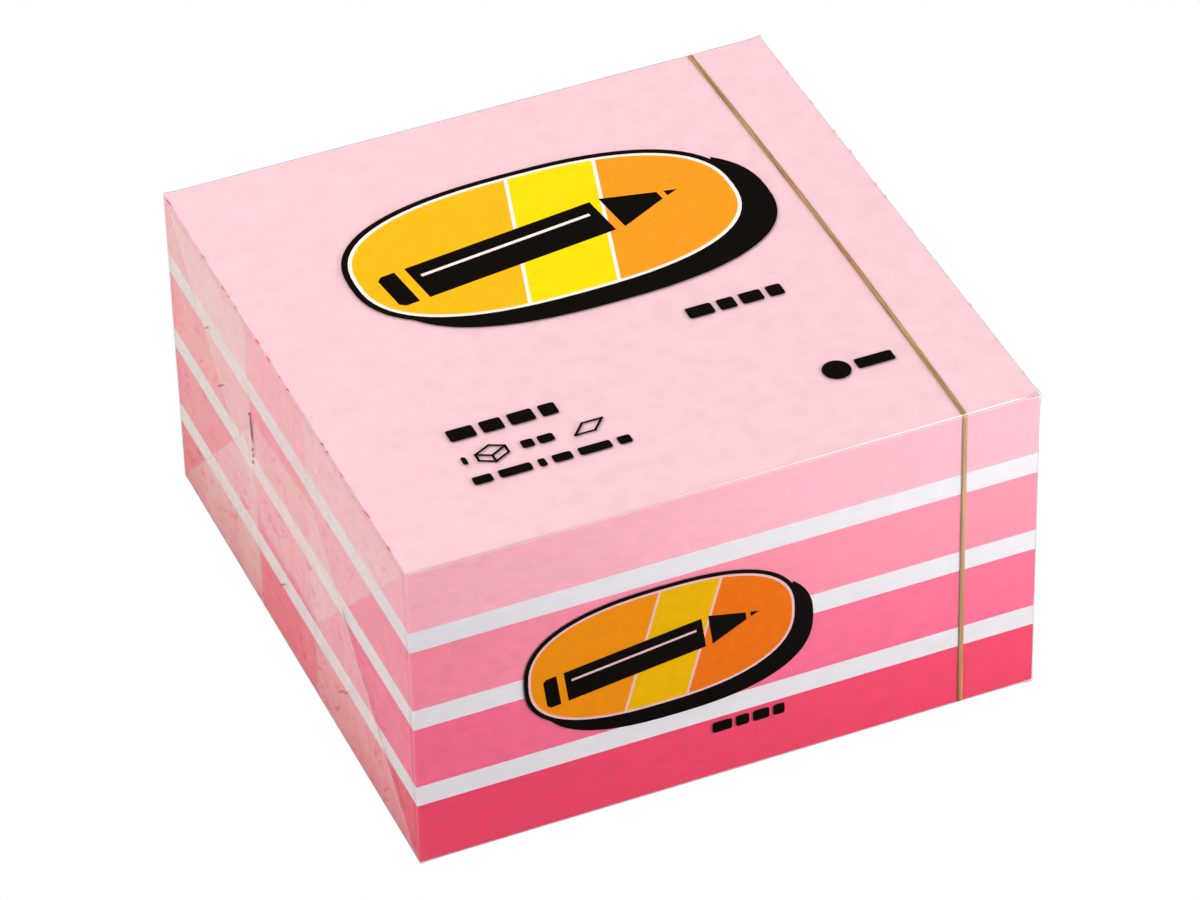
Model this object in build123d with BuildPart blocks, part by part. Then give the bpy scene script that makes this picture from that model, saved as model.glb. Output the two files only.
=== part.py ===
from build123d import *
import os

# A cube pad of notes: seven blocks of coloured paper, sealed in a clear film wrap with a
# tear tape. Millimetres. +X runs along the front face, +Y to the back and +Z up. The
# origin is at the middle of the face that the pack stands on.

# Paper
note_width = 76.0  # one note, along X
note_depth = 76.0  # one note, along Y
sheet_thickness = 0.093  # 70 g/m2 note paper
pink_count = 90  # notes in a pink block
white_count = 30  # notes in a white block
release_thickness = 0.1  # sheet that covers the last note's adhesive

# Film wrap
film_thickness = 0.03
film_slack = 0.05  # between the paper and the tear tape, at the sides and the top
long_reach = 31.5  # film folded in over an end, from the edge where it reaches furthest
short_reach = 26.75  # and from the opposite edge, because the film is cut a little skew
lap_width = 9.0  # overlap of the wrap's seam, which runs across the back
lap_height = 21.0  # height of the seam's middle

# Tear tape, on the inside of the film
tape_width = 0.6
tape_thickness = 0.05
tape_inset = 9.2  # from the notes' right edge to the middle of the tape

# Blocks from the bottom up: node name and number of notes
note_blocks = [
    ("hot_pink_notes", pink_count),
    ("lower_white_notes", white_count),
    ("rose_pink_notes", pink_count),
    ("middle_white_notes", white_count),
    ("light_pink_notes", pink_count),
    ("upper_white_notes", white_count),
    ("pale_pink_notes", pink_count),
]

# The paper rests on the tape, and the film has room for the tape everywhere else. It turns
# each edge of the pad on a radius that just clears the paper's sharp corner.
film_gap = tape_thickness + film_slack
film_corner = film_gap
sheet_total = sum(count for name, count in note_blocks)
stack_height = release_thickness + sheet_total * sheet_thickness
stack_base = film_thickness + tape_thickness

cavity_width = note_width + 2 * film_gap
cavity_depth = note_depth + 2 * film_gap
cavity_height = tape_thickness + stack_height + film_gap
cavity_middle = film_thickness + cavity_height / 2

wrap_width = cavity_width + 2 * film_thickness
wrap_depth = cavity_depth + 2 * film_thickness
wrap_height = cavity_height + 2 * film_thickness
wrap_corner = film_corner + film_thickness

# Flat part of an end face, between its rounded edges, as half sizes
end_half = wrap_depth / 2 - wrap_corner
end_rise = wrap_height / 2 - wrap_corner
film_skew = (long_reach - short_reach) / (2 * end_half)


def flap_outline(side):
    # The top flap (side 1) or the bottom flap (side -1) of an end: its folds run in at 45
    # degrees from the corners, to the film's cut edge.
    long_fold = long_reach / (1 + film_skew)
    short_fold = short_reach / (1 - film_skew)
    return [
        (end_half, side * end_rise),
        (end_half - long_fold, side * (end_rise - long_fold)),
        (short_fold - end_half, side * (end_rise - short_fold)),
        (-end_half, side * end_rise),
    ]


def add_flap(side, mode=Mode.ADD):
    Polygon(*flap_outline(side), align=None, mode=mode)


def keep_tucks():
    # The tucks are the film of the front and the back, folded in flat under the flaps.
    tuck_gap = 2 * end_half - long_reach - short_reach
    with Locations(((short_reach - long_reach) / 2, 0)):
        Rectangle(tuck_gap, wrap_height, mode=Mode.SUBTRACT)


# Paper blocks, stacked on the release sheet
os.makedirs("parts", exist_ok=True)

with BuildPart() as release_sheet:
    with BuildSketch(Plane.XY.offset(stack_base)):
        Rectangle(note_width, note_depth)
    extrude(amount=release_thickness)
release_sheet.part.label = "release_sheet"
export_step(release_sheet.part, "parts/release_sheet.step")

block_base = stack_base + release_thickness
for name, count in note_blocks:
    block_height = count * sheet_thickness
    with BuildPart() as block:
        with BuildSketch(Plane.XY.offset(block_base)):
            Rectangle(note_width, note_depth)
        extrude(amount=block_height)
    block.part.label = name
    export_step(block.part, f"parts/{name}.step")
    block_base += block_height

# Tear tape: a band round the top, the front, the bottom and the back
tape_start = note_width / 2 - tape_inset - tape_width / 2
with BuildPart() as tear_tape:
    with BuildSketch(Plane.YZ.offset(tape_start)):
        with Locations((0, cavity_middle)):
            RectangleRounded(cavity_depth, cavity_height, film_corner)
            RectangleRounded(
                cavity_depth - 2 * tape_thickness,
                cavity_height - 2 * tape_thickness,
                film_corner - tape_thickness,
                mode=Mode.SUBTRACT,
            )
    extrude(amount=tape_width)
tear_tape.part.label = "tear_tape"
export_step(tear_tape.part, "parts/tear_tape.step")

# The space inside the film
with BuildPart() as cavity:
    with BuildSketch(Plane.XY.offset(film_thickness)):
        Rectangle(cavity_width, cavity_depth)
    extrude(amount=cavity_height)
    fillet(cavity.edges(), radius=film_corner)

# Inner faces of the two end walls, with +X to the edge of the long reach and +Y up
left_end = Plane(origin=(-cavity_width / 2, 0, cavity_middle), x_dir=(0, -1, 0), z_dir=(-1, 0, 0))
right_end = Plane(origin=(cavity_width / 2, 0, cavity_middle), x_dir=(0, 1, 0), z_dir=(1, 0, 0))
back_wall = Plane(origin=(0, cavity_depth / 2, lap_height), x_dir=(-1, 0, 0), z_dir=(0, 1, 0))

with BuildPart() as film_wrap:
    with BuildSketch(Plane.XY):
        Rectangle(wrap_width, wrap_depth)
    extrude(amount=wrap_height)
    fillet(film_wrap.edges(), radius=wrap_corner)
    # Two plies where the seam laps
    with BuildSketch(back_wall):
        Rectangle(wrap_width - 2 * wrap_corner, lap_width)
    extrude(amount=2 * film_thickness)
    for end in (left_end, right_end):
        # Two plies where the top flap lies over the bottom flap
        with BuildSketch(end):
            add_flap(1)
            add_flap(-1, Mode.INTERSECT)
        extrude(amount=2 * film_thickness)
        # Three plies where a flap and its folded corner lie over a tuck
        for side in (1, -1):
            with BuildSketch(end):
                add_flap(side)
                keep_tucks()
            extrude(amount=3 * film_thickness)
        # Five plies where both flaps and both corners lie over a tuck
        with BuildSketch(end):
            add_flap(1)
            add_flap(-1, Mode.INTERSECT)
            keep_tucks()
        extrude(amount=5 * film_thickness)
    add(cavity.part, mode=Mode.SUBTRACT)
film_wrap.part.label = "film_wrap"
export_step(film_wrap.part, "parts/film_wrap.step")
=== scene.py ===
import math
import random

import bmesh
import bpy
from mathutils import Matrix, Vector, noise


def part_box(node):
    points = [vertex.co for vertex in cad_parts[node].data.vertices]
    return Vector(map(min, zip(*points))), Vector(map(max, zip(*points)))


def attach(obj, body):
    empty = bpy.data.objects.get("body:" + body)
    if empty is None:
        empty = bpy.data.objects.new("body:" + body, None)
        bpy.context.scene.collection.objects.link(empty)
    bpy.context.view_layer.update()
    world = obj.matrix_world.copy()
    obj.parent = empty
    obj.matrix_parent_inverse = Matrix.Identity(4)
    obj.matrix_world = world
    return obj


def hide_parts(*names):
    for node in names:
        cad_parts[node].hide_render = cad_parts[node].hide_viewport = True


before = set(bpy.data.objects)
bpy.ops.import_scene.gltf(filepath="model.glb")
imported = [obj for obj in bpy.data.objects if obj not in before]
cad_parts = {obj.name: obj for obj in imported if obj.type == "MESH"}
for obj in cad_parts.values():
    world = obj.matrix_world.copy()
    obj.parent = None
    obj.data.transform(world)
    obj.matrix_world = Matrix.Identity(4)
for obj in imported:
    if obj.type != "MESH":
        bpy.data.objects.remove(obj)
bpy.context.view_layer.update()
mm = 0.001               # sizes below are in millimetres, in the pack's own frame
print("frame loaded:", len(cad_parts), "nodes")


# Camera

viewpoint = {
    "target": (0.06, -1.04, 19.7),
    "distance": 744.5,
    "azimuth": 22.19,    # degrees, from +Y towards +X
    "elevation": 38.7,   # degrees, looking down
    "roll": -1.46,
    "lens": 192.7,
}


def makeCamera():
    azimuth, elevation, roll = (math.radians(viewpoint[k]) for k in ("azimuth", "elevation", "roll"))
    ahead = Vector((
        math.sin(azimuth) * math.cos(elevation),
        math.cos(azimuth) * math.cos(elevation),
        -math.sin(elevation),
    ))
    level = ahead.cross(Vector((0, 0, 1))).normalized()
    raised = level.cross(ahead)
    across = level * math.cos(roll) + raised * math.sin(roll)
    turned = Matrix((across, across.cross(ahead), -ahead)).transposed()
    data = bpy.data.cameras.new("productCamera")
    data.lens = viewpoint["lens"]
    data.clip_start, data.clip_end = 0.01, 20
    camera = bpy.data.objects.new("productCamera", data)
    place = (Vector(viewpoint["target"]) - ahead * viewpoint["distance"]) * mm
    camera.matrix_world = Matrix.Translation(place) @ turned.to_4x4()
    bpy.context.collection.objects.link(camera)
    bpy.context.scene.camera = camera


makeCamera()
print("camera placed")


# Colours and small helpers

def tint(red, green, blue):
    # 0 to 255 as seen on a screen, made linear for the shaders
    def linear(value):
        value /= 255
        return value / 12.92 if value <= 0.04045 else ((value + 0.055) / 1.055) ** 2.4
    return (linear(red), linear(green), linear(blue), 1)


def smooth(low, high, value):
    t = min(max((value - low) / (high - low), 0), 1)
    return t * t * (3 - 2 * t)


def steps(start, end, longest):
    # evenly spaced values from start to end, no further apart than longest
    count = max(1, math.ceil(abs(end - start) / longest))
    return [start + (end - start) * i / count for i in range(count + 1)]


def boxOf(node):
    low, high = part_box(node)
    return Vector(low) / mm, Vector(high) / mm


def addPiece(name, form, materials, shade=False):
    # form is a bmesh in millimetres
    for v in form.verts:
        v.co *= mm
    mesh = bpy.data.meshes.new(name)
    form.to_mesh(mesh)
    form.free()
    for material in materials:
        mesh.materials.append(material)
    for polygon in mesh.polygons:
        polygon.use_smooth = shade
    piece = bpy.data.objects.new(name, mesh)
    bpy.context.collection.objects.link(piece)
    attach(piece, "root")
    return piece


def addGrid(form, rows, material=0):
    # rows of points, each as long as the others, become a sheet of quads
    placed = [[form.verts.new(point) for point in row] for row in rows]
    for lower, upper in zip(placed, placed[1:]):
        for i in range(len(lower) - 1):
            face = form.faces.new((lower[i], lower[i + 1], upper[i + 1], upper[i]))
            face.material_index = material


# Shader groups

def newGroup(name, inputs, outputs):
    group = bpy.data.node_groups.new(name, "ShaderNodeTree")
    for label, kind, value in inputs:
        socket = group.interface.new_socket(label, in_out="INPUT", socket_type=kind)
        socket.default_value = value
    for label, kind in outputs:
        group.interface.new_socket(label, in_out="OUTPUT", socket_type=kind)
    return group, group.nodes.new("NodeGroupInput"), group.nodes.new("NodeGroupOutput")


def addNode(tree, kind, settings=(), **values):
    node = tree.nodes.new(kind)
    for key, value in dict(settings).items():
        setattr(node, key, value)
    for label, value in values.items():
        socket = node.inputs[label.replace("_", " ")]
        if isinstance(value, bpy.types.NodeSocket):
            tree.links.new(value, socket)
        else:
            socket.default_value = value
    return node


def addMix(tree, factor, first, second):
    node = tree.nodes.new("ShaderNodeMixShader")
    if isinstance(factor, bpy.types.NodeSocket):
        tree.links.new(factor, node.inputs[0])
    else:
        node.inputs[0].default_value = factor
    tree.links.new(first.outputs[0], node.inputs[1])
    tree.links.new(second.outputs[0], node.inputs[2])
    return node


def addMath(tree, operation, *values, clamp=False):
    node = tree.nodes.new("ShaderNodeMath")
    node.operation = operation
    node.use_clamp = clamp
    for socket, value in zip(node.inputs, values):
        if isinstance(value, bpy.types.NodeSocket):
            tree.links.new(value, socket)
        else:
            socket.default_value = value
    return node.outputs[0]


def addRange(tree, value, low, high, newLow=0.0, newHigh=1.0):
    node = addNode(tree, "ShaderNodeMapRange", {"interpolation_type": "SMOOTHSTEP"})
    tree.links.new(value, node.inputs["Value"])
    for label, number in (("From Min", low), ("From Max", high), ("To Min", newLow), ("To Max", newHigh)):
        node.inputs[label].default_value = number
    return node.outputs["Result"]


def addBlend(tree, factor, first, second):
    node = tree.nodes.new("ShaderNodeMix")
    node.data_type = "RGBA"
    for socket, value in ((node.inputs[0], factor), (node.inputs[6], first), (node.inputs[7], second)):
        if isinstance(value, bpy.types.NodeSocket):
            tree.links.new(value, socket)
        else:
            socket.default_value = value
    return node.outputs[2]


def objectNoise(tree, scale, detail, stretch=(1, 1, 1)):
    place = tree.nodes.new("ShaderNodeTexCoord").outputs["Object"]
    mapping = addNode(tree, "ShaderNodeMapping", Vector=place, Scale=stretch)
    return addNode(
        tree, "ShaderNodeTexNoise", Vector=mapping.outputs[0], Scale=scale, Detail=detail
    ).outputs["Fac"]


paperLook = {
    # noise scales are per metre; the stripes are finest up the stack
    "stripe": (400, 400, 2600), "stripeDetail": 3,
    "blotch": 620, "tooth": 5200, "toothStretch": (1, 1, 1.6), "detail": 4,
    "faceShare": 0.3,    # of the blotches, on a sheet seen flat
    "flat": (0.4, 0.6),  # how far up a face looks, from an edge to a flat sheet
    "bump": 0.35, "depth": 0.00004,
    "roughness": 0.82, "specular": 0.25,
}


def makePaperGrain():
    # stripes from sheet to sheet, soft blotches and fine tooth
    group, given, made = newGroup(
        "paperGrain",
        [
            ("Colour", "NodeSocketColor", (1, 1, 1, 1)),
            ("Stripes", "NodeSocketFloat", 0.1),
            ("Blotches", "NodeSocketFloat", 0.1),
        ],
        [("Colour", "NodeSocketColor"), ("Height", "NodeSocketFloat")],
    )
    stripes = objectNoise(group, 1.0, paperLook["stripeDetail"], paperLook["stripe"])
    blotches = objectNoise(group, paperLook["blotch"], paperLook["detail"])
    tooth = objectNoise(group, paperLook["tooth"], paperLook["detail"], paperLook["toothStretch"])
    light = addMath(group, "MULTIPLY", addMath(group, "SUBTRACT", stripes, 0.5), given.outputs["Stripes"])
    patch = addMath(group, "MULTIPLY", addMath(group, "SUBTRACT", blotches, 0.5), given.outputs["Blotches"])
    gain = addMath(group, "ADD", addMath(group, "ADD", light, patch), 1.0)
    scaled = addNode(group, "ShaderNodeVectorMath", {"operation": "SCALE"}, Scale=gain)
    group.links.new(given.outputs["Colour"], scaled.inputs[0])
    group.links.new(scaled.outputs[0], made.inputs["Colour"])
    group.links.new(addMath(group, "ADD", tooth, stripes), made.inputs["Height"])
    return group


rippleScale = {"slack": 130, "crinkle": 900}   # per metre


def makeFilmRipple():
    # broad slack and fine crinkle in thin film
    group, given, made = newGroup(
        "filmRipple",
        [("Slack", "NodeSocketFloat", 1.0), ("Crinkle", "NodeSocketFloat", 0.2)],
        [("Height", "NodeSocketFloat")],
    )
    slack = objectNoise(group, rippleScale["slack"], 1)
    slack = addMath(group, "MULTIPLY", slack, given.outputs["Slack"])
    crinkle = objectNoise(group, rippleScale["crinkle"], 1)
    crinkle = addMath(group, "MULTIPLY", crinkle, given.outputs["Crinkle"])
    group.links.new(addMath(group, "ADD", slack, crinkle), made.inputs["Height"])
    return group


sealLook = {
    "patchEdge": (0.35, 0.65),   # noise values over which clear turns milky
    "lineWidth": 0.022,          # in noise values
    "curl": 1.2,
}


def makeSealMarks():
    # where hot plies have fused: clear patches, milky patches and thin curling lines between them
    group, given, made = newGroup(
        "sealMarks",
        [("Patch Scale", "NodeSocketFloat", 150.0), ("Line Scale", "NodeSocketFloat", 300.0)],
        [("Patches", "NodeSocketFloat"), ("Lines", "NodeSocketFloat")],
    )
    place = group.nodes.new("ShaderNodeTexCoord").outputs["Object"]
    patches = addNode(
        group, "ShaderNodeTexNoise",
        Vector=place, Scale=given.outputs["Patch Scale"], Detail=3.0,
    )
    lines = addNode(
        group, "ShaderNodeTexNoise",
        Vector=place, Scale=given.outputs["Line Scale"], Detail=1.0, Distortion=sealLook["curl"],
    )
    away = addMath(group, "ABSOLUTE", addMath(group, "SUBTRACT", lines.outputs["Fac"], 0.5))
    group.links.new(addRange(group, patches.outputs["Fac"], *sealLook["patchEdge"]), made.inputs["Patches"])
    group.links.new(addRange(group, away, 0.0, sealLook["lineWidth"], 1.0, 0.0), made.inputs["Lines"])
    return group


paperGrain = makePaperGrain()
filmRipple = makeFilmRipple()
sealMarks = makeSealMarks()


# Materials

noiseSpan = (0.3, 0.7)   # most of a noise's values lie in here


def newMaterial(name):
    material = bpy.data.materials.new(name)
    material.use_nodes = True
    tree = material.node_tree
    tree.nodes.clear()
    return material, tree, tree.nodes.new("ShaderNodeOutputMaterial")


def addGroup(tree, group, **values):
    node = tree.nodes.new("ShaderNodeGroup")
    node.node_tree = group
    for label, value in values.items():
        node.inputs[label.replace("_", " ")].default_value = value
    return node


def makePaper(name, edge, face, stripes=0.2, blotches=0.2):
    # edge is the colour of the cut edges in a block, face that of a sheet seen flat
    material, tree, out = newMaterial(name)
    normal = tree.nodes.new("ShaderNodeNewGeometry").outputs["Normal"]
    upward = addMath(tree, "ABSOLUTE", addNode(tree, "ShaderNodeSeparateXYZ", Vector=normal).outputs["Z"])
    grain = addGroup(tree, paperGrain, Stripes=stripes)
    spots = addRange(tree, upward, *paperLook["flat"], blotches, paperLook["faceShare"] * blotches)
    tree.links.new(spots, grain.inputs["Blotches"])
    colour = addBlend(tree, addRange(tree, upward, *paperLook["flat"]), edge, face)
    tree.links.new(colour, grain.inputs["Colour"])
    bump = addNode(
        tree, "ShaderNodeBump",
        Strength=paperLook["bump"], Distance=paperLook["depth"], Height=grain.outputs["Height"],
    )
    surface = addNode(
        tree, "ShaderNodeBsdfPrincipled",
        Base_Color=grain.outputs["Colour"], Roughness=paperLook["roughness"],
        Specular_IOR_Level=paperLook["specular"], Normal=bump.outputs[0],
    )
    tree.links.new(surface.outputs[0], out.inputs["Surface"])
    return material


def makeFilm(name, look):
    # clear film: mirrors by angle over a thin milky share, and lamps reach the paper through it
    material, tree, out = newMaterial(name)
    ripple = addGroup(tree, filmRipple, Slack=look["slack"], Crinkle=look["crinkle"])
    bump = addNode(
        tree, "ShaderNodeBump",
        Strength=look["bump"], Distance=look["depth"], Height=ripple.outputs["Height"],
    ).outputs[0]
    facing = addNode(tree, "ShaderNodeLayerWeight", Blend=0.5, Normal=bump).outputs["Facing"]
    headOn = look["headOn"] * look["gloss"]
    grazing = addMath(tree, "POWER", facing, 5.0)
    mirror = addMath(tree, "MULTIPLY_ADD", grazing, look["gloss"] - headOn, headOn)
    milk = look["milkiest"]
    if look["marks"]:
        # welded plies: milkier in patches, duller along thin lines
        marks = addGroup(tree, sealMarks, Patch_Scale=look["patchScale"], Line_Scale=look["lineScale"])
        milk = addRange(tree, marks.outputs["Patches"], 0.0, 1.0, look["clearest"], look["milkiest"])
        dull = addMath(tree, "MULTIPLY_ADD", marks.outputs["Lines"], -look["marks"], 1.0)
        milk = addMath(tree, "MULTIPLY", milk, dull)
        mirror = addMath(tree, "MULTIPLY", mirror, dull)
    body = addNode(
        tree, "ShaderNodeBsdfPrincipled",
        Base_Color=look["milk"], Roughness=look["milkRoughness"],
        Specular_IOR_Level=look["milkSpecular"], Normal=bump,
    )
    under = addMix(tree, milk, addNode(tree, "ShaderNodeBsdfTransparent"), body)
    shine = addNode(
        tree, "ShaderNodeBsdfAnisotropic",
        Color=(1, 1, 1, 1), Roughness=look["roughness"], Normal=bump,
    )
    over = addMix(tree, mirror, under, shine)
    straight = addNode(tree, "ShaderNodeBsdfTransparent")
    seen = addMix(tree, tree.nodes.new("ShaderNodeLightPath").outputs["Is Camera Ray"], straight, over)
    tree.links.new(seen.outputs[0], out.inputs["Surface"])
    return material


inkLook = {
    "speckle": 700, "detail": 3,     # noise scale is per metre
    "uneven": (0.97, 1.03),          # darkest and lightest share of the colour
    "roughness": 0.18, "specular": 0.03,
}


def makeInk(name, colour, cover=1.0):
    # printed ink, faintly uneven; cover under 1 lets the paper's colour through
    material, tree, out = newMaterial(name)
    speckle = objectNoise(tree, inkLook["speckle"], inkLook["detail"])
    uneven = addRange(tree, speckle, *noiseSpan, *inkLook["uneven"])
    scaled = addNode(tree, "ShaderNodeVectorMath", {"operation": "SCALE"}, Scale=uneven)
    scaled.inputs[0].default_value = colour[:3]
    surface = addNode(
        tree, "ShaderNodeBsdfPrincipled",
        Base_Color=scaled.outputs[0], Roughness=inkLook["roughness"],
        Specular_IOR_Level=inkLook["specular"], Alpha=cover,
    )
    tree.links.new(surface.outputs[0], out.inputs["Surface"])
    return material


tapeLook = {
    "dark": tint(136, 88, 32), "light": tint(190, 140, 72),
    "streaks": (4000, 120, 120), "detail": 3,   # noise scales are per metre, fine across the tape
    "bump": 0.4, "depth": 0.00003,
    "roughness": 0.35,
}


def makeTape(name):
    material, tree, out = newMaterial(name)
    streaks = objectNoise(tree, 1.0, tapeLook["detail"], tapeLook["streaks"])
    colour = addBlend(tree, addRange(tree, streaks, *noiseSpan), tapeLook["dark"], tapeLook["light"])
    bump = addNode(
        tree, "ShaderNodeBump",
        Strength=tapeLook["bump"], Distance=tapeLook["depth"], Height=streaks,
    )
    surface = addNode(
        tree, "ShaderNodeBsdfPrincipled",
        Base_Color=colour, Roughness=tapeLook["roughness"], Normal=bump.outputs[0],
    )
    tree.links.new(surface.outputs[0], out.inputs["Surface"])
    return material


papers = {
    "pale": makePaper("palePinkPaper", tint(251, 169, 186), tint(240, 196, 206)),
    "light": makePaper("lightPinkPaper", tint(249, 129, 154), tint(246, 150, 170)),
    "rose": makePaper("rosePinkPaper", tint(247, 93, 135), tint(244, 110, 144)),
    "hot": makePaper("hotPinkPaper", tint(240, 38, 90), tint(236, 64, 98)),
    "white": makePaper("whitePaper", tint(229, 225, 231), tint(236, 236, 240), 0.12, 0.1),
}
filmLook = {
    "slack": 0.6, "crinkle": 0.05, "bump": 0.25, "depth": 0.0002,
    "marks": 0.0,        # how much the seal's thin lines dull it
    "milkiest": 0.008,   # most of the milky share
    "milk": tint(240, 240, 240), "milkRoughness": 0.5, "milkSpecular": 0.2,
    "gloss": 1.0, "headOn": 0.04,    # share mirrored when seen head on, at a gloss of 1
    "roughness": 0.05,
}
weldLook = {
    **filmLook,
    "slack": 0.8, "crinkle": 0.2, "bump": 0.4,
    "marks": 0.6, "patchScale": 170, "lineScale": 260,
    "clearest": 0.005, "milkiest": 0.025, "milk": tint(228, 230, 214),
    "gloss": 0.38, "roughness": 0.2,
}
clearFilm = makeFilm("clearFilm", filmLook)
creasedFilm = makeFilm("creasedFilm", {**filmLook, "gloss": 4.0, "milkiest": 0.0})
flapFilm = makeFilm("flapFilm", {
    **weldLook, "clearest": 0.08, "milkiest": 0.15, "milk": tint(244, 184, 172),
})
tuckFilm = makeFilm("tuckFilm", {**weldLook, "gloss": 0.34})
weldedTuckFilm = makeFilm("weldedTuckFilm", {
    **weldLook, "gloss": 0.3, "clearest": 0.14, "milkiest": 0.19, "milk": tint(226, 218, 202),
})
cornerFilm = makeFilm("cornerFilm", {**weldLook, "gloss": 0.02})
tapeAmber = makeTape("amberTape")
print("materials made")


# Notes: every block is a stack of separate sheets

noteStack = {
    "sheet": 0.093,
    "air": 0.004,       # left between two sheets
    "wander": 0.012,    # slow drift of the cut edge up the stack
    "slow": 0.7, "apart": 40,
    "stagger": 0.006,   # how far one sheet sits out of line with the next
    "seed": 11,
}
noteBlocks = {
    "pale_pink_notes": ("palePinkNotes", "pale", "pale_pink_paper"),
    "upper_white_notes": ("upperWhiteNotes", "white", "white_paper"),
    "light_pink_notes": ("lightPinkNotes", "light", "light_pink_paper"),
    "middle_white_notes": ("middleWhiteNotes", "white", "white_paper"),
    "rose_pink_notes": ("rosePinkNotes", "rose", "rose_pink_paper"),
    "lower_white_notes": ("lowerWhiteNotes", "white", "white_paper"),
    "hot_pink_notes": ("hotPinkNotes", "hot", "hot_pink_paper"),
}


def makeNotes():
    chance = random.Random(noteStack["seed"])
    for node, (name, paper, slot) in noteBlocks.items():
        low, high = boxOf(node)
        count = round((high.z - low.z) / noteStack["sheet"])
        pitch = (high.z - low.z) / count
        form = bmesh.new()
        for i in range(count):
            bottom = low.z + i * pitch
            top = bottom + pitch - noteStack["air"]
            spots = [Vector((k * noteStack["apart"], 0, bottom * noteStack["slow"])) for k in (0, 1)]
            drift = [noise.noise(spot) * noteStack["wander"] for spot in spots]
            shift = [drift[k] + chance.uniform(-1, 1) * noteStack["stagger"] for k in (0, 1)]
            corners = [
                (x + shift[0], y + shift[1])
                for x, y in ((low.x, low.y), (high.x, low.y), (high.x, high.y), (low.x, high.y))
            ]
            under = [form.verts.new((x, y, bottom)) for x, y in corners]
            over = [form.verts.new((x, y, top)) for x, y in corners]
            form.faces.new(reversed(under))
            form.faces.new(over)
            for k in range(4):
                m = (k + 1) % 4
                form.faces.new((under[k], under[m], over[m], over[k]))
        piece = addPiece(name, form, [papers[paper]])
        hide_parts(node)
    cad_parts["release_sheet"].data.materials.clear()
    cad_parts["release_sheet"].data.materials.append(papers["white"])


makeNotes()
print("note blocks stacked")


# Film wrap: tube round the front, top, back and bottom

filmTube = {
    "thickness": 0.03,
    "turn": 0.3,         # radius where it goes round the long edges
    "rim": 0.28,         # radius where it turns onto an end
    "grid": 1.3,
    "close": (0.03, 0.12, 0.4),   # finer rows beside each turn
    "rimClose": (2.4, 1.6, 0.9, 0.4), "rimRun": 3.3,   # finer columns beside each rim
    "arc": 6,            # steps round a corner
    "lapLow": 16.5,      # seam on the back, from here
    "lapHigh": 25.5,     # up to here
    "lapLift": 0.04, "lapFade": 2,   # outer ply over the inner one
    "slack": 0.03, "slackSize": 9,
    "fineShare": 0.4, "fineSize": 3.1,
    "creaseDepth": 0.045, "creasePitch": 1.9,   # faint creases on the top, near the left end
    "creaseWander": 2.2, "wanderSize": 6,
    "creaseReach": (-14, -36), "creaseSpread": (17, 6), "creaseMiddle": 1,   # from none to full depth
    "gather": 0.03, "gatherSize": 1.1, "gatherReach": (2.5, 0.4),   # along the rims
    "earSpread": 1.3,
}
cornerPuffs = (
    # left or right, front or back, bottom or top; how far the film stands out there
    (1, -1, 1, 0.32),    # the ear at the right end of the top front edge
    (-1, -1, 1, 0.064), (1, 1, 1, 0.16), (-1, 1, 1, 0.112),
    (1, -1, 0, 0.16), (-1, -1, 0, 0.096),
)
wrapLow, wrapHigh = boxOf("film_wrap")
padHigh = boxOf("hot_pink_notes")[1]
frontWall, topWall = wrapLow.y, wrapHigh.z
backWall = -frontWall
endWall = backWall   # the film lies as close to the ends as it does to the front
flatOnTop = ((-27, 29), (-29.5, 27.5))     # printed areas lie flat
flatOnFront = ((-27.5, 13), (4, 32.5))


def awayFrom(area, u, v):
    # 0 on a printed area, rising to 1 a little way outside it
    gap = max(area[0][0] - u, u - area[0][1], area[1][0] - v, v - area[1][1])
    return smooth(0, 4, gap)


def filmSwell(x, y, z, wall):
    # how far the film stands out from its flat place, in millimetres
    if wall == "bottom":
        return 0
    spot = Vector((x, y, z))
    swell = filmTube["slack"] * noise.noise(spot / filmTube["slackSize"])
    fine = noise.noise(spot / filmTube["fineSize"] + Vector((5, 3, 1)))
    swell += filmTube["fineShare"] * filmTube["slack"] * fine
    if wall == "top":
        wavering = y * filmTube["creasePitch"]
        wavering += filmTube["creaseWander"] * noise.noise(spot / filmTube["wanderSize"])
        offMiddle = abs(y - filmTube["creaseMiddle"])
        nearLeft = smooth(*filmTube["creaseReach"], x) * smooth(*filmTube["creaseSpread"], offMiddle)
        swell += filmTube["creaseDepth"] * math.sin(wavering) ** 3 * nearLeft
        swell *= awayFrom(flatOnTop, x, y)
    elif wall == "front":
        swell *= awayFrom(flatOnFront, x, z)
    near = 0
    for rightward, backward, upward, high in cornerPuffs:
        corner = Vector((rightward * endWall, backward * backWall, topWall * upward))
        near += high * math.exp(-((spot - corner).length / filmTube["earSpread"]) ** 2)
    gathers = filmTube["gather"] * noise.noise(Vector((y, z, x)) / filmTube["gatherSize"])
    gathers *= smooth(*filmTube["gatherReach"], endWall - abs(x))
    return max(swell + gathers, -2 * filmTube["thickness"]) + near


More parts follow.
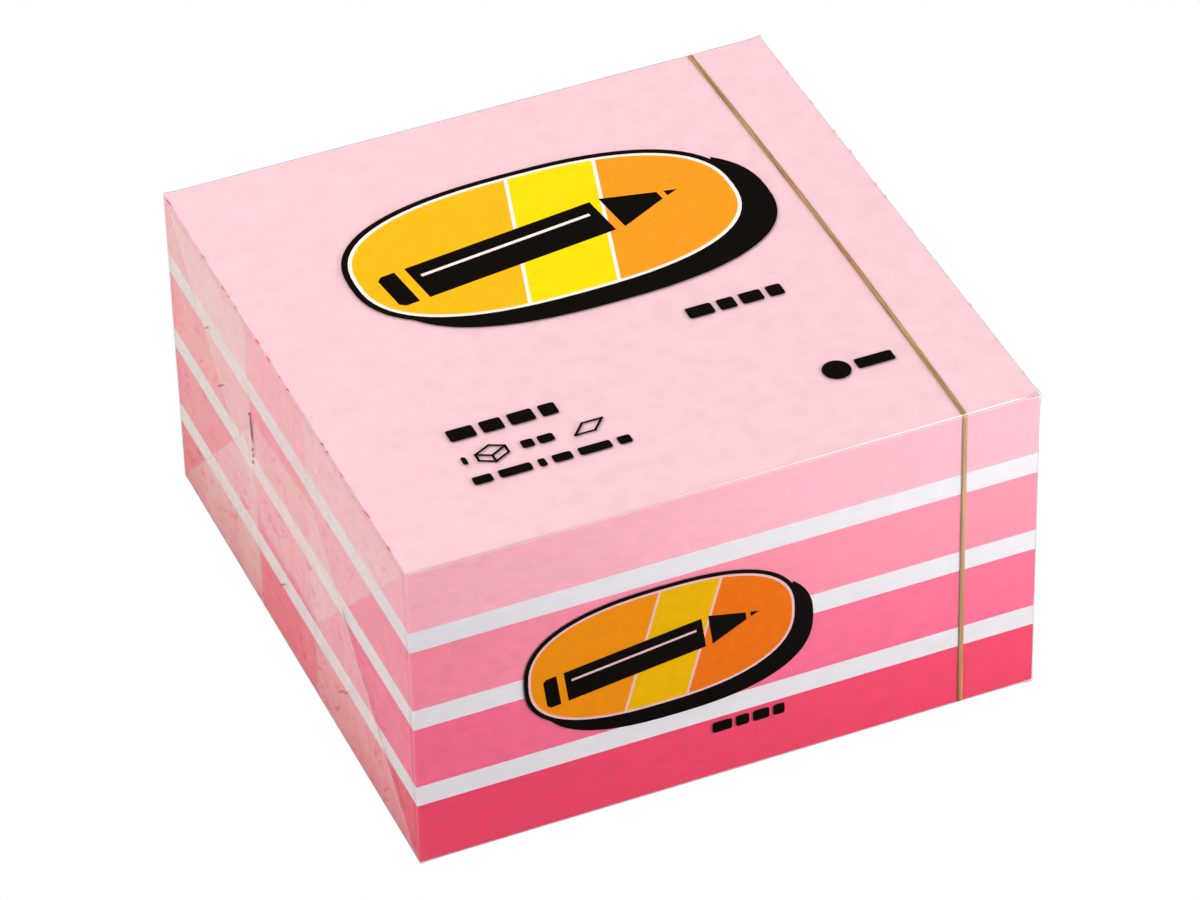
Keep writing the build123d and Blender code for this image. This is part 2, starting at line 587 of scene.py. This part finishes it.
def sectionPath():
    # (y, z, outward y, outward z, wall) from the seam down the back, under, up the front and over
    turn = filmTube["turn"]
    walls = [
        ("back", backWall, filmTube["lapHigh"], turn, (1, 0)),
        ("bottom", 0, backWall - turn, turn - backWall, (0, -1)),
        ("front", frontWall, turn, topWall - turn, (-1, 0)),
        ("top", topWall, turn - backWall, backWall - turn, (0, 1)),
        ("back", backWall, topWall - turn, filmTube["lapLow"], (1, 0)),
    ]
    path = []
    for index, (wall, level, start, end, out) in enumerate(walls):
        toward = math.copysign(1, end - start)
        close = filmTube["close"]
        run = [start] + [start + toward * gap for gap in close] + steps(
            start + toward * 2 * close[-1], end - toward * 2 * close[-1], filmTube["grid"]
        ) + [end - toward * gap for gap in reversed(close)] + [end]
        for along in run:
            lift = 0
            if index == 4:
                seam = filmTube["lapHigh"]
                lift = filmTube["lapLift"] * smooth(seam + filmTube["lapFade"], seam, along)
            side = level + lift if wall == "back" else level
            y, z = (side, along) if out[1] == 0 else (along, level)
            path.append((y, z, out[0], out[1], wall))
        if index < 4:
            nextOut = walls[index + 1][4]
            centre = (path[-1][0] - out[0] * turn, path[-1][1] - out[1] * turn)
            for k in range(1, filmTube["arc"]):
                a = math.pi / 2 * k / filmTube["arc"]
                oy = out[0] * math.cos(a) + nextOut[0] * math.sin(a)
                oz = out[1] * math.cos(a) + nextOut[1] * math.sin(a)
                nearer = wall if k < filmTube["arc"] / 2 else walls[index + 1][0]
                path.append((centre[0] + oy * turn, centre[1] + oz * turn, oy, oz, nearer))
    return path


def endColumns():
    # (x, how far in from the walls): straight run, with a rounded rim at each end
    rim = filmTube["rim"]
    straight = endWall - rim
    curve = [
        (straight + rim * math.sin(a), rim * (1 - math.cos(a)))
        for a in (math.pi / 2 * k / filmTube["arc"] for k in range(1, filmTube["arc"] + 1))
    ]
    fine = [straight - gap for gap in filmTube["rimClose"]]
    middle = steps(-straight + filmTube["rimRun"], straight - filmTube["rimRun"], filmTube["grid"])
    right = [(x, 0) for x in fine] + [(straight, 0)] + curve
    return [(-x, inset) for x, inset in reversed(right)] + [(x, 0) for x in middle] + right


def addSolidify(piece, thickness):
    thick = piece.modifiers.new("filmThickness", "SOLIDIFY")
    thick.thickness = thickness * mm
    thick.offset = -1
    thick.use_even_offset = False


def makeTube():
    columns = endColumns()
    rows = []
    for y, z, oy, oz, wall in sectionPath():
        row = []
        for x, inset in columns:
            swell = filmSwell(x, y, z, wall) - inset
            if z + oz * swell < 0:
                swell = -inset
            row.append((x, y + oy * swell, z + oz * swell))
        rows.append(row)
    form = bmesh.new()
    addGrid(form, rows)
    for face in form.faces:
        middle = face.calc_center_median()
        if max(backWall - abs(middle.y), min(middle.z, topWall - middle.z)) < filmTube["turn"]:
            face.material_index = 1   # round a long edge
    bmesh.ops.recalc_face_normals(form, faces=form.faces)
    piece = addPiece("filmTube", form, [clearFilm, creasedFilm], shade=True)
    addSolidify(piece, filmTube["thickness"])
    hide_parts("film_wrap")


makeTube()
print("film tube wrapped")


# Film ends: two tucks, four folded corners and two flaps on each

filmEnd = {
    "thickness": 0.026,
    "longReach": 31.5,
    "shortReach": 26.75,
    "grid": 1.1,
    # distance of each ply's outside from the paper
    "tuck": 0.055, "corner": 0.095, "lower": 0.135, "upper": 0.175,
    "root": 0.12,        # where each ply leaves the rim
    "rootRun": 1.6,
    "wave": 0.022, "waveSize": (7, 6),
    "fineShare": 0.35, "fineSize": 2.2,
    "curl": 0.05,        # lift of a flap's free edge
    "curlRun": 0.9, "reachAll": 9,   # where that lift ends; well clear of it
    "cornerStep": 0.003,     # between the upper and the lower corner ply
}
halfAcross = backWall - filmTube["rim"]
halfUp = (topWall / 2) - filmTube["rim"]
middleUp = topWall / 2


def endSkew():
    return (filmEnd["longReach"] - filmEnd["shortReach"]) / (2 * halfAcross)


def plyPatch(corners):
    # four corners in order, each (across, up); returns rows of points between them
    a, b, c, d = (Vector(corner) for corner in corners)
    down = steps(0, 1, filmEnd["grid"] / max((d - a).length, (c - b).length))
    over = steps(0, 1, filmEnd["grid"] / max((b - a).length, (c - d).length))
    return [[a.lerp(b, s).lerp(d.lerp(c, s), t) for s in over] for t in down]


def plyPoint(point, level, side, rootGap, edgeGap):
    # from (across, up) on an end to the pack's frame; side is 1 on the right end
    p, q = point
    wide, tall = filmEnd["waveSize"]
    fine = filmEnd["fineSize"]
    wave = filmEnd["wave"] * noise.noise(Vector((p / wide, q / tall, 3 * side)))
    wave += filmEnd["fineShare"] * filmEnd["wave"] * noise.noise(Vector((p / fine, q / fine, 9 * side)))
    settled = smooth(0, filmEnd["rootRun"], rootGap)
    out = filmEnd["root"] + (level - filmEnd["root"]) * settled + wave * settled
    out += filmEnd["curl"] * smooth(filmEnd["curlRun"], 0.0, edgeGap)
    return (side * (padHigh.x + out), side * p, middleUp + q)


def addPly(form, corners, level, side, rootOf, edgeOf=None, material=0):
    # rootOf and edgeOf give a point's distance from the ply's fold and from its cut edge
    edgeOf = edgeOf or (lambda point: filmEnd["reachAll"])
    rows = [
        [plyPoint(point, level, side, rootOf(point), edgeOf(point)) for point in row]
        for row in plyPatch(corners)
    ]
    addGrid(form, rows, material)


def makeEnd(name, side):
    # across runs towards the edge of the long reach, which is the front on the left end
    a, b = halfAcross, halfUp
    longReach, shortReach, skew = filmEnd["longReach"], filmEnd["shortReach"], endSkew()
    longFold, shortFold = longReach / (1 + skew), shortReach / (1 - skew)
    form = bmesh.new()

    def reachAt(p):
        return shortReach + skew * (p + a)

    inLong, inShort = a - longReach, shortReach - a
    addPly(
        form, [(a, b), (inLong, b), (inLong, -b), (a, -b)],
        filmEnd["tuck"], side, lambda point: a - point.x, material=1,
    )
    addPly(
        form, [(inShort, b), (-a, b), (-a, -b), (inShort, -b)],
        filmEnd["tuck"], side, lambda point: a + point.x, material=2,
    )
    for up, level in ((-1, filmEnd["lower"]), (1, filmEnd["upper"])):
        corner = filmEnd["corner"] + filmEnd["cornerStep"] * up

        def fromFold(point, up=up):
            return b - up * point.y

        def fromEdge(point, up=up):
            return reachAt(point.x) - (b - up * point.y)

        longMeet = (a - longFold, up * (b - longFold))
        shortMeet = (shortFold - a, up * (b - shortFold))
        underLong = (inLong, up * (b - reachAt(inLong)))
        underShort = (inShort, up * (b - reachAt(inShort)))
        addPly(
            form, [(a, up * b), (inLong, up * b), underLong, longMeet],
            corner, side, fromFold, material=3,
        )
        addPly(
            form, [(-a, up * b), (inShort, up * b), underShort, shortMeet],
            corner, side, fromFold, material=3,
        )
        addPly(
            form, [(a, up * b), (-a, up * b), shortMeet, longMeet],
            level, side, fromFold, fromEdge,
        )
    for face in form.faces:
        face.normal_update()
        if face.normal.x * side < 0:
            face.normal_flip()
    piece = addPiece(name, form, [flapFilm, tuckFilm, weldedTuckFilm, cornerFilm], shade=True)
    addSolidify(piece, filmEnd["thickness"])
    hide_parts("film_wrap")


makeEnd("leftEndFolds", -1)
makeEnd("rightEndFolds", 1)
print("film ends folded")


# Creases: painted shade, thin dark slivers where the film is pinched, wrinkled or folded

creases = {
    "width": 0.2, "thickness": 0.012, "lift": 0.03, "seed": 5,
    "edgeGap": (0.8, 6.5), "edgeRun": (0.4, 1.6), "edgeLean": 0.1,
    "pinchDepth": (13.2, 20.5),   # below the top, at the edge of the short reach
    "pinches": ((0, 0, 0.15, 4.4, 0.55), (-0.7, 0.6, 0.1, 0, 0.3)),   # across and down, twice; width
    "specks": (0.68, 0.8, 0.95),  # shares of the way down the pinch
    "speckStray": 0.25, "speckFall": 0.7, "speckWidth": 0.32,
    # painted shade of slanting wrinkles in the welded plies: across, below the top, run
    "wrinkles": ((-22.5, 17.4, 3.2), (-25.8, 11.2, 2.2), (-4.5, 33.8, 3.0), (14, 35.6, 2.4), (16, 34.2, 1.6)),
    "wrinkleSlope": (0.75, 0.6), "wrinkleWidth": 0.3,
    # the lower fold's shadow, slivers that overlap or leave a gap
    "foldStart": 4.0, "foldStop": 6.0,   # from the corner and from the edge
    "foldRun": (1.0, 2.6), "foldGap": (-0.3, 0.4), "foldWidth": (0.2, 0.4),
    "foldOff": 0.4, "foldLean": (0.2, 0.6),
}
# painted shade: dark inks for the pinch, for the creased rims and for the folds and wrinkles
pinchShade = makeInk("pinchShadeInk", tint(118, 52, 58), 0.8)
edgeShade = makeInk("creasedFilm", tint(236, 104, 128), 0.7)
foldShade = makeInk("foldShadeInk", tint(200, 92, 116), 0.34)


def addSliver(form, start, end, width, outward):
    # a lens-shaped flake from start to end, thickest part outward
    start, end, outward = Vector(start), Vector(end), Vector(outward).normalized()
    across = (end - start).cross(outward).normalized() * width / 2
    rise = outward * creases["thickness"]
    ring = [start.lerp(end, t) + across * side for t, side in (
        (0, 0.15), (0.3, 1), (0.65, 0.8), (1, 0.1), (1, -0.1), (0.7, -1), (0.35, -0.7), (0, -0.15),
    )]
    under = [form.verts.new(point) for point in ring]
    over = [form.verts.new(point + rise) for point in ring]
    form.faces.new(under)
    form.faces.new(reversed(over))
    for k in range(len(ring)):
        m = (k + 1) % len(ring)
        form.faces.new((over[k], over[m], under[m], under[k]))


def makeEdgeCreaseShade():
    # painted shade: short dark pink slivers along the top rim of each end, where the film gathers
    chance = random.Random(creases["seed"])
    form = bmesh.new()
    rim = filmTube["rim"]
    for side in (-1, 1):
        across = side * (endWall - rim + rim * math.sqrt(0.5) + creases["lift"])
        up = topWall - rim + rim * math.sqrt(0.5) + creases["lift"]
        along = chance.uniform(*creases["edgeGap"]) - backWall
        while along < backWall - 2:
            run = chance.uniform(*creases["edgeRun"])
            lean = chance.uniform(-creases["edgeLean"], creases["edgeLean"])
            start = (across + lean * side, along, up + lean)
            end = (across - lean * side, along + run, up - lean)
            addSliver(form, start, end, creases["width"] * chance.uniform(0.6, 1.3), (side, 0, 1))
            along += run + chance.uniform(*creases["edgeGap"])
    addPiece("edgeCreaseShade", form, [edgeShade])


def endSpot(side, p, depth, level):
    # p across towards the long reach's edge, depth below the top
    return (side * (padHigh.x + level), side * p, topWall - depth)


def makeEndCreaseShade():
    # painted shade: a dark pinch with specks at the edge of the short reach, and painted shadow along the
    # lower fold and the slanting wrinkles
    chance = random.Random(creases["seed"] + 1)
    pinched, folded = bmesh.new(), bmesh.new()
    high, low = creases["pinchDepth"]
    level = filmEnd["upper"] + creases["lift"]
    for side in (-1, 1):
        edge = filmEnd["shortReach"] - halfAcross
        out = (side, 0, 0)

        def spot(p, depth, side=side):
            return endSpot(side, p, depth, level)

        for p, depth, toP, toDepth, width in creases["pinches"]:
            addSliver(pinched, spot(edge + p, high + depth), spot(edge + toP, high + toDepth), width, out)
        for share in creases["specks"]:
            depth = high + (low - high) * share
            stray = creases["speckStray"]
            at = edge + chance.uniform(-stray, stray)
            end = spot(at - stray, depth + creases["speckFall"])
            addSliver(pinched, spot(at, depth), end, creases["speckWidth"], out)
        for p, depth, run in creases["wrinkles"]:
            across, rise = (run * slope for slope in creases["wrinkleSlope"])
            end = spot(p + across, depth - rise)
            addSliver(folded, spot(p, depth), end, creases["wrinkleWidth"], out)
        reach = creases["foldStart"]
        while reach < filmEnd["shortReach"] - creases["foldStop"]:
            run = chance.uniform(*creases["foldRun"])
            p, depth = halfAcross - reach, topWall - reach
            end = spot(p - run, depth - run - chance.uniform(*creases["foldLean"]))
            width = chance.uniform(*creases["foldWidth"])
            addSliver(folded, spot(p, depth - creases["foldOff"]), end, width, out)
            reach += run + chance.uniform(*creases["foldGap"])
    addPiece("pinchShadeMarks", pinched, [pinchShade])
    addPiece("foldShadeMarks", folded, [foldShade])


makeEdgeCreaseShade()
makeEndCreaseShade()
print("creases pressed")


# Tear tape, inside the film

tearTape = {
    "across": 28.8,      # its middle, to the right of the pack's middle
    "bow": 0.45,         # how far it wanders to the right half way over the top
    "width": 0.6,
    "thickness": 0.045,
    "under": 0.034,      # below the film's outside
    "grid": 1.5,
    "turn": 0.2,
}


def makeTearTape():
    rows = []
    for y, z, oy, oz, wall in sectionPath():
        bow = tearTape["bow"] * math.cos(math.pi / 2 * y / backWall) if wall == "top" else 0
        deep = tearTape["under"]
        rows.append([
            (tearTape["across"] + bow + edge * tearTape["width"] / 2, y - oy * deep, z - oz * deep)
            for edge in (-1, -0.33, 0.33, 1)
        ])
    form = bmesh.new()
    addGrid(form, rows)
    bmesh.ops.recalc_face_normals(form, faces=form.faces)
    piece = addPiece("tearTape", form, [tapeAmber], shade=True)
    addSolidify(piece, tearTape["thickness"])
    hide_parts("tear_tape")


makeTearTape()
print("tear tape laid")


# Print: a plain badge and small marks, with no words

darkInk = makeInk("darkInk", tint(12, 8, 6))
inks = {
    "topDark": darkInk,
    "topAmber": makeInk("amberInk", tint(252, 180, 24)),
    "topYellow": makeInk("yellowInk", tint(254, 214, 10)),
    "topOrange": makeInk("orangeInk", tint(249, 150, 32)),
    "topPale": makeInk("paleInk", tint(255, 232, 226)),
    "frontDark": darkInk,
    "frontAmber": makeInk("thinAmberInk", tint(248, 150, 20), 0.8),
    "frontYellow": makeInk("thinYellowInk", tint(246, 190, 10), 0.78),
    "frontOrange": makeInk("thinOrangeInk", tint(244, 120, 26), 0.82),
    "frontPale": makeInk("thinPaleInk", tint(250, 205, 210), 0.7),
}
badge = {
    "width": 48.6, "height": 25.6,
    "shadow": (2.6, -2.4),
    "rim": 0.75,
    "line": 0.45,        # pale line between two fields
    "roundness": 2.5,    # 2 is an ellipse, more is squarer
    "lean": 0.28,        # slope of the lines between fields
    "cuts": (-3.5, 7.5),
    "tilt": 7,           # of the pencil, degrees
    "middle": (-1.2, -0.6),
}
pencil = {
    # outlines along its length, from the rubber to the tip
    "rubber": [(-19.6, -2.5), (-19.0, -3.1), (-17.2, -3.1), (-17.2, 3.1), (-19.0, 3.1), (-19.6, 2.5)],
    "body": [(-15.9, -3.1), (8.6, -3.1), (8.6, 3.1), (-15.9, 3.1)],
    "cone": [(9.8, -3.1), (16.2, -0.75), (16.2, 0.75), (9.8, 3.1)],
    "lead": [(17.0, -0.5), (18.6, 0), (17.0, 0.5)],
    "glint": [(-14.8, 0.75), (7.4, 0.75), (7.4, 1.2), (-14.8, 1.2)],
}
printing = {
    "lift": 0.012,       # lowest ink over the film's flat place
    "ink": 0.008, "layer": 0.012,
    "line": 0.3,         # of the two small drawings
    "nick": 0.3,         # largest rounding of a dash
    "topBadge": (1.0, (-0.6, 12.2)),     # scale and middle
    "frontBadge": (0.686, (-8.2, 21.5)),
    # left, bottom, height, lengths, gap
    "topDashes": (
        (-25.0, -19.0, 2.1, (3.2, 2.6, 3.0, 2.0), 0.75),
        (-25.2, -23.3, 1.4, (0.6,), 0.5),
        (-18.1, -23.3, 1.4, (1.5, 1.9), 0.5),
        (-25.4, -27.1, 1.4, (2.3, 3.9, 0.9, 2.3, 3.9, 1.6), 0.8),
        (8.1, -9.5, 2.0, (3.2, 2.1, 2.7, 1.9), 0.65),
        (21.6, -25.7, 1.8, (4.6,), 0.7),
    ),
    "frontDashes": (-2.2, 6.5, 1.5, (2.4, 1.6, 2.0, 1.4), 0.5),
    "disc": (19.2, -24.8, 1.7),
    # a block and a sheet, drawn in lines, and where they stand
    "block": [(0, 1.9), (2.0, 2.9), (3.6, 2.1), (3.6, 0.9), (1.7, -0.1), (0, 0.75)],
    "blockEdges": ([(0, 1.9), (1.7, 1.05), (3.6, 2.1)], [(1.7, 1.05), (1.7, -0.1)]),
    "blockPlace": (-23.4, -24.0),
    "sheet": [(0, 0), (2.4, 0), (3.9, 1.7), (1.5, 1.7)],
    "sheetPlace": (-12.0, -23.5),
}


def oval(width, height, centre=(0, 0), points=72):
    power = 2 / badge["roundness"]
    made = []
    for k in range(points):
        a = 2 * math.pi * k / points
        c, s = math.cos(a), math.sin(a)
        made.append((
            centre[0] + width / 2 * math.copysign(abs(c) ** power, c),
            centre[1] + height / 2 * math.copysign(abs(s) ** power, s),
        ))
    return made


def cut(outline, keep):
    # the part of a closed outline where keep(point) is positive; keep is linear
    made = []
    for here, there in zip(outline, outline[1:] + outline[:1]):
        a, b = keep(here), keep(there)
        if a >= 0:
            made.append(here)
        if a * b < 0:
            t = a / (a - b)
            made.append((here[0] + (there[0] - here[0]) * t, here[1] + (there[1] - here[1]) * t))
    return made


def bar(x0, x1, y0, y1, nick=0.0):
    if not nick:
        return [(x0, y0), (x1, y0), (x1, y1), (x0, y1)]
    made = []
    for cx, cy, start in ((x1 - nick, y0 + nick, -90), (x1 - nick, y1 - nick, 0),
                          (x0 + nick, y1 - nick, 90), (x0 + nick, y0 + nick, 180)):
        for k in range(5):
            a = math.radians(start + 90 * k / 4)
            made.append((cx + nick * math.cos(a), cy + nick * math.sin(a)))
    return made


def moved(outline, scale=1.0, shift=(0, 0), turn=0):
    c, s = math.cos(math.radians(turn)), math.sin(math.radians(turn))
    return [
        ((x * c - y * s) * scale + shift[0], (x * s + y * c) * scale + shift[1])
        for x, y in outline
    ]


def stroke(points, width, closed=False):
    # outlines of a thin line through these points, one bar for each run
    made = []
    ends = points[1:] + points[:1] if closed else points[1:]
    for (x0, y0), (x1, y1) in zip(points, ends):
        length = math.hypot(x1 - x0, y1 - y0)
        turn = math.degrees(math.atan2(y1 - y0, x1 - x0))
        run = bar(-width / 2, length + width / 2, -width / 2, width / 2)
        made.append(moved(run, 1.0, (x0, y0), turn))
    return made


def badgeShapes():
    # outlines by name; where two share a name, the inner one is a hole or a part of its own
    width, height, rim, line = (badge[k] for k in ("width", "height", "rim", "line"))
    face = oval(width, height)
    inner = oval(width - 2 * rim, height - 2 * rim)
    field = oval(width - 2 * rim - 2 * line, height - 2 * rim - 2 * line)
    left, right = badge["cuts"]

    def across(point, at):
        return point[0] - at - badge["lean"] * point[1]

    half = line / 2
    amber = cut(field, lambda point: -across(point, left - half))
    middle = cut(field, lambda point: across(point, left + half))
    yellow = cut(middle, lambda point: -across(point, right - half))
    orange = cut(field, lambda point: across(point, right + half))
    dark = [pencil[part] for part in ("rubber", "body", "cone", "lead")]
    return {
        "Shadow": [crescent(moved(face, 1.0, badge["shadow"]), face)],
        "Rim": [face, inner],
        "Lines": [inner, amber, yellow, orange],
        "Amber": [amber], "Yellow": [yellow], "Orange": [orange],
        "Pencil": [moved(part, 1.0, badge["middle"], badge["tilt"]) for part in dark],
        "Glint": [moved(pencil["glint"], 1.0, badge["middle"], badge["tilt"])],
    }


def fillOutlines(outlines, level, inkDepth):
    # a flat closed solid from outlines, by a filled curve
    data = bpy.data.curves.new("inkOutline", "CURVE")
    data.dimensions = "2D"
    data.fill_mode = "BOTH"
    data.extrude = inkDepth / 2
    for outline in outlines:
        spline = data.splines.new("POLY")
        spline.points.add(len(outline) - 1)
        for point, (x, y) in zip(spline.points, outline):
            point.co = (x, y, 0, 1)
        spline.use_cyclic_u = True
    holder = bpy.data.objects.new("inkOutline", data)
    mesh = bpy.data.meshes.new_from_object(holder)
    form = bmesh.new()
    form.from_mesh(mesh)
    bmesh.ops.remove_doubles(form, verts=form.verts, dist=0.0005)
    bmesh.ops.translate(form, verts=form.verts, vec=(0, 0, level + inkDepth / 2))
    bpy.data.objects.remove(holder)
    bpy.data.curves.remove(data)
    solid = bpy.data.meshes.new("inkSolid")
    form.to_mesh(solid)
    form.free()
    bpy.data.meshes.remove(mesh)
    return solid


def printPiece(name, ink, shapes, place):
    # shapes is [(layer, [outlines])]; place takes the flat print onto its wall
    form = bmesh.new()
    for layer, outlines in shapes:
        solid = fillOutlines(outlines, printing["lift"] + layer * printing["layer"], printing["ink"])
        form.from_mesh(solid)
        bpy.data.meshes.remove(solid)
    bmesh.ops.transform(form, matrix=place, verts=form.verts)
    addPiece(name, form, [inks[ink]])


def isInside(point, outline):
    x, y = point
    crossings = 0
    for (x0, y0), (x1, y1) in zip(outline, outline[1:] + outline[:1]):
        if (y0 > y) != (y1 > y) and x < x0 + (y - y0) * (x1 - x0) / (y1 - y0):
            crossings += 1
    return crossings % 2 == 1


def crescent(shadow, face):
    # the part of the shadow that the badge doesn't cover
    hidden = [isInside(point, face) for point in shadow]
    count = len(shadow)
    first = next(i for i in range(count) if hidden[i - 1] and not hidden[i])
    outer = []
    for k in range(count):
        if hidden[(first + k) % count]:
            break
        outer.append(shadow[(first + k) % count])

    def nearest(point):
        return min(range(len(face)), key=lambda k: math.dist(face[k], point))

    k, end = nearest(outer[-1]), nearest(outer[0])
    inner = [face[k]]
    while k != end:
        k = (k - 1) % len(face)
        inner.append(face[k])
    return outer + inner


def printBadge(face, scale, centre, place):
    def fit(outlines):
        return [moved(outline, scale, centre) for outline in outlines]

    shapes = badgeShapes()
    for label, ink, layer in (
        ("Shadow", "Dark", 1), ("Rim", "Dark", 1), ("Lines", "Pale", 1),
        ("Amber", "Amber", 1), ("Yellow", "Yellow", 1), ("Orange", "Orange", 1),
    ):
        printPiece(f"{face}{label}", f"{face}{ink}", [(layer, fit(shapes[label]))], place)
    for label, ink, layer in (("Pencil", "Dark", 2), ("Glint", "Pale", 3)):
        printPiece(f"{face}{label}", f"{face}{ink}", [(layer, [part]) for part in fit(shapes[label])], place)


def dashes(x, y, height, lengths, gap):
    made = []
    for length in lengths:
        made.append(bar(x, x + length, y, y + height, min(printing["nick"], height / 3)))
        x += length + gap
    return made


def topPlace():
    return Matrix.Translation((0, 0, topWall))


def frontPlace():
    # the print's up is the wall's up
    return Matrix.Translation((0, frontWall, 0)) @ Matrix.Rotation(math.pi / 2, 4, "X")


def disc(x, y, radius, points=24):
    turns = (2 * math.pi / points * k for k in range(points))
    return [(x + radius * math.cos(a), y + radius * math.sin(a)) for a in turns]


def makePrint():
    printBadge("top", *printing["topBadge"], topPlace())
    printBadge("front", *printing["frontBadge"], frontPlace())
    line = printing["line"]
    block = stroke(printing["block"], line, True)
    for edges in printing["blockEdges"]:
        block += stroke(edges, line)
    sheet = stroke(printing["sheet"], line, True)
    marks = [dash for row in printing["topDashes"] for dash in dashes(*row)]
    marks += [moved(run, 1.0, printing["blockPlace"]) for run in block]
    marks += [moved(run, 1.0, printing["sheetPlace"]) for run in sheet]
    marks.append(disc(*printing["disc"]))
    printPiece("topMarks", "topDark", [(1, [outline]) for outline in marks], topPlace())
    small = dashes(*printing["frontDashes"])
    printPiece("frontMarks", "frontDark", [(1, [outline]) for outline in small], frontPlace())


makePrint()
print("print laid on the film")


# Floor and light

studio = {
    "floor": 9000,
    "floorShade": 0.25,  # how much light the floor throws back
    # painted reflection: the floor's glow as the film mirrors it, brighter to the left and in front and to
    # the right
    "sheen": 0.35,       # brightness of the floor as the film mirrors it
    "leftSheen": 0.53,   # more of it, to the left
    "leftRise": (-0.034, -0.044),     # from here to here across, in metres
    "brightSheen": 1.3,  # more of it, in front and to the right
    "brightRise": ((-0.04, 0.07), (-0.03, -0.085)),   # across and in front, in metres
    "world": (0.48, 0.28),   # at the horizon and overhead
    "lamps": {
        # place, target, size in millimetres; power in watts; colour
        "frontKey": ((250, -240, 125), (0, -20, 20), (420, 170), 1.6, (1, 1, 1)),
        "leftFill": ((-300, 70, 230), (0, 0, 20), (300, 200), 0.95, (1, 0.89, 0.81)),
        "overhead": ((60, 420, 760), (0, 0, 20), (700, 500), 1.5, (1, 1, 1)),
        "backFill": ((90, 330, 150), (0, 0, 20), (400, 150), 0.8, (1, 1, 1)),
        "edgeGlint": ((230, -110, 330), (0, -38, 42), (320, 260), 0.65, (1, 1, 1)),
    },
    "mirrored": ("edgeGlint",),   # lamps that only the film's mirror sees, the others only light
}


def makeFloor():
    form = bmesh.new()
    half = studio["floor"] / 2
    corners = ((-1, -1), (1, -1), (1, 1), (-1, 1))
    form.faces.new([form.verts.new((x * half * mm, y * half * mm, 0)) for x, y in corners])
    mesh = bpy.data.meshes.new("floor")
    form.to_mesh(mesh)
    form.free()
    floor = bpy.data.objects.new("floor", mesh)
    bpy.context.collection.objects.link(floor)
    material, tree, out = newMaterial("whiteFloor")
    shade = studio["floorShade"]
    place = addNode(
        tree, "ShaderNodeSeparateXYZ", Vector=tree.nodes.new("ShaderNodeTexCoord").outputs["Object"]
    ).outputs
    # painted reflection: for mirrored rays the floor glows by itself, brighter to the left and in front and
    # to the right
    rightward, forward = studio["brightRise"]
    bright = addMath(
        tree, "MULTIPLY",
        addRange(tree, place["X"], *rightward), addRange(tree, place["Y"], *forward),
    )
    low = studio["sheen"]
    leftward = addRange(tree, place["X"], *studio["leftRise"], low, low + studio["leftSheen"])
    sheen = addMath(tree, "MULTIPLY_ADD", bright, studio["brightSheen"], leftward)
    path = tree.nodes.new("ShaderNodeLightPath").outputs
    surface = addNode(tree, "ShaderNodeBsdfDiffuse", Color=(shade, shade, shade, 1))
    mirrored = addNode(tree, "ShaderNodeEmission", Color=(1, 1, 1, 1), Strength=sheen)
    white = addNode(tree, "ShaderNodeEmission", Color=(1, 1, 1, 1))
    seen = addMix(tree, path["Is Camera Ray"], addMix(tree, path["Is Glossy Ray"], surface, mirrored), white)
    tree.links.new(seen.outputs[0], out.inputs["Surface"])
    mesh.materials.append(material)


def addLamp(name, place, target, size, power, colour):
    data = bpy.data.lights.new(name, "AREA")
    data.shape = "RECTANGLE"
    data.size, data.size_y = size[0] * mm, size[1] * mm
    data.energy = power
    data.color = colour
    lamp = bpy.data.objects.new(name, data)
    lamp.location = Vector(place) * mm
    lamp.rotation_euler = (Vector(target) - Vector(place)).to_track_quat("-Z", "Y").to_euler()
    lamp.visible_glossy = name in studio["mirrored"]
    lamp.visible_diffuse = not lamp.visible_glossy
    bpy.context.collection.objects.link(lamp)


def makeStudio():
    makeFloor()
    world = bpy.data.worlds.new("studio")
    world.use_nodes = True
    back = world.node_tree.nodes["Background"]
    back.inputs["Color"].default_value = (1, 1, 1, 1)
    tree = world.node_tree
    height = addNode(
        tree, "ShaderNodeSeparateXYZ", Vector=tree.nodes.new("ShaderNodeTexCoord").outputs["Generated"]
    ).outputs["Z"]
    glow = addRange(tree, height, 0.0, 1.0, *studio["world"])
    seen = tree.nodes.new("ShaderNodeLightPath").outputs["Is Camera Ray"]   # plain white behind the object
    tree.links.new(addMath(tree, "MAXIMUM", glow, seen), back.inputs["Strength"])
    bpy.context.scene.world = world
    for name, lamp in studio["lamps"].items():
        addLamp(name, *lamp)
    bpy.context.scene.view_settings.view_transform = "Standard"
    bpy.context.scene.cycles.transparent_max_bounces = 32


makeStudio()
print("studio lit")
